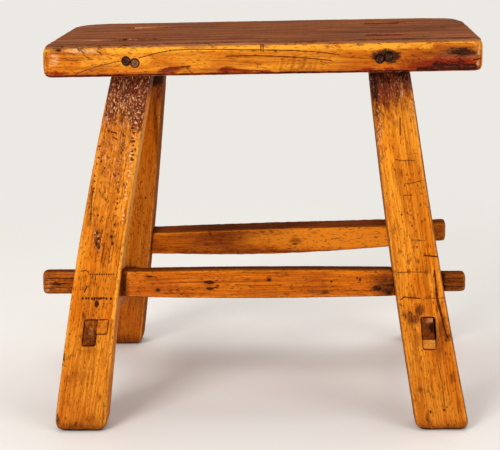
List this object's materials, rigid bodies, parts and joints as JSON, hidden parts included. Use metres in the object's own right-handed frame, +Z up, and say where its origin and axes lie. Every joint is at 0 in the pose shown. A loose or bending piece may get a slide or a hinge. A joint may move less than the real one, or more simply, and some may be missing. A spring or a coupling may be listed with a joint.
{
  "type": "stool",
  "caption": "Low child's stool: thick wooden plank seat on splayed flat legs, tied by long and side rails with through tenons, wedges and pegs.",
  "frame": {"origin": "on the floor under the middle of the whole stool, rail ends included", "axes": "+X to the right along the seat's length, +Y to the back across the seat, +Z up"},
  "size_m": [0.4446, 0.2988, 0.3904],
  "materials": {
    "seat_wood": "old waxed honey-brown wood, satin, dull and darker on top, stained along the lower edge",
    "leg_wood": "old waxed honey-orange wood, satin, nearly black at the top of each leg, pitted and scratched",
    "rail_wood": "old waxed orange-brown wood, satin, with dark worn ends",
    "wedge_wood": "dry pale wood, matt",
    "peg_wood": "dark end grain, matt"
  },
  "bodies": {
    "root": {"seat_plank": "seat_wood", "leg_front_left": "leg_wood", "leg_front_right": "leg_wood", "leg_back_left": "leg_wood", "leg_back_right": "leg_wood", "stretcher_front": "rail_wood", "stretcher_back": "rail_wood", "stretcher_left": "rail_wood", "stretcher_right": "rail_wood", "seat_wedge_front_left": "wedge_wood", "rail_wedge_front_left": "wedge_wood", "seat_peg_front_left_outer": "peg_wood", "seat_peg_front_left_inner": "peg_wood", "seat_wedge_front_right": "wedge_wood", "rail_wedge_front_right": "wedge_wood", "seat_peg_front_right_outer": "peg_wood", "seat_peg_front_right_inner": "peg_wood", "seat_wedge_back_left": "wedge_wood", "rail_wedge_back_left": "wedge_wood", "seat_peg_back_left_outer": "peg_wood", "seat_peg_back_left_inner": "peg_wood", "seat_wedge_back_right": "wedge_wood", "rail_wedge_back_right": "wedge_wood", "seat_peg_back_right_outer": "peg_wood", "seat_peg_back_right_inner": "peg_wood"}
  },
  "joints": []
}
